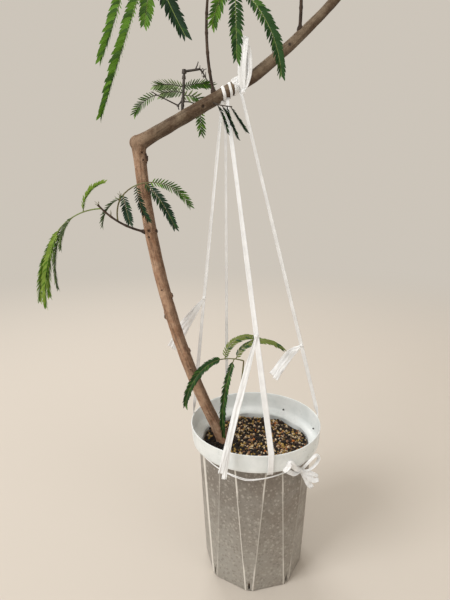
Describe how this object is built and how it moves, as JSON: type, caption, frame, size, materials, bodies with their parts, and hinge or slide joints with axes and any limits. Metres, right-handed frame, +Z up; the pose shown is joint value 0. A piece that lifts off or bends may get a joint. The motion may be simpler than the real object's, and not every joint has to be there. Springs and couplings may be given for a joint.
{
  "type": "potted feather-leaved tree",
  "caption": "Young indoor tree with feathered leaves and a sharply bent trunk, in a tall translucent slit pot of granular soil, tied to the rim with flat tape.",
  "frame": {"origin": "centre of the pot's flat underside", "axes": "+Z up along the pot's axis, -Y toward the plant's best side, the bent trunk leaning toward -X"},
  "size_m": [0.9414, 0.5935, 1.3587],
  "materials": {
    "pot_plastic": "frosted translucent",
    "soil": "granular, rough",
    "bark": "smooth brown bark",
    "foliage": "satin leaf",
    "tape": "soft white film"
  },
  "bodies": {
    "root": {"pot": "pot_plastic", "soil": "soil", "trunk": "bark", "arm": "bark", "leader": "bark", "low_twig": "bark", "front_bough": "bark", "mid_bough": "bark", "left_bough": "bark", "right_bough": "bark", "top_bough": "bark", "low_left_leaf": "foliage", "low_front_leaf": "foliage", "mid_spray": "foliage", "under_leaf": "foliage", "foot_shoot": "foliage", "front_left_leaves": "foliage", "front_right_leaves": "foliage", "front_top_mass": "foliage", "mid_mass": "foliage", "left_tip_mass": "foliage", "left_back_mass": "foliage", "right_tip_mass": "foliage", "right_front_mass": "foliage", "top_tip_mass": "foliage", "top_right_mass": "foliage", "tape_lashing": "tape", "tape_strand_left": "tape", "tape_strand_back": "tape", "tape_strand_front": "tape", "tape_strand_right": "tape", "twine_ring": "tape"}
  },
  "joints": []
}
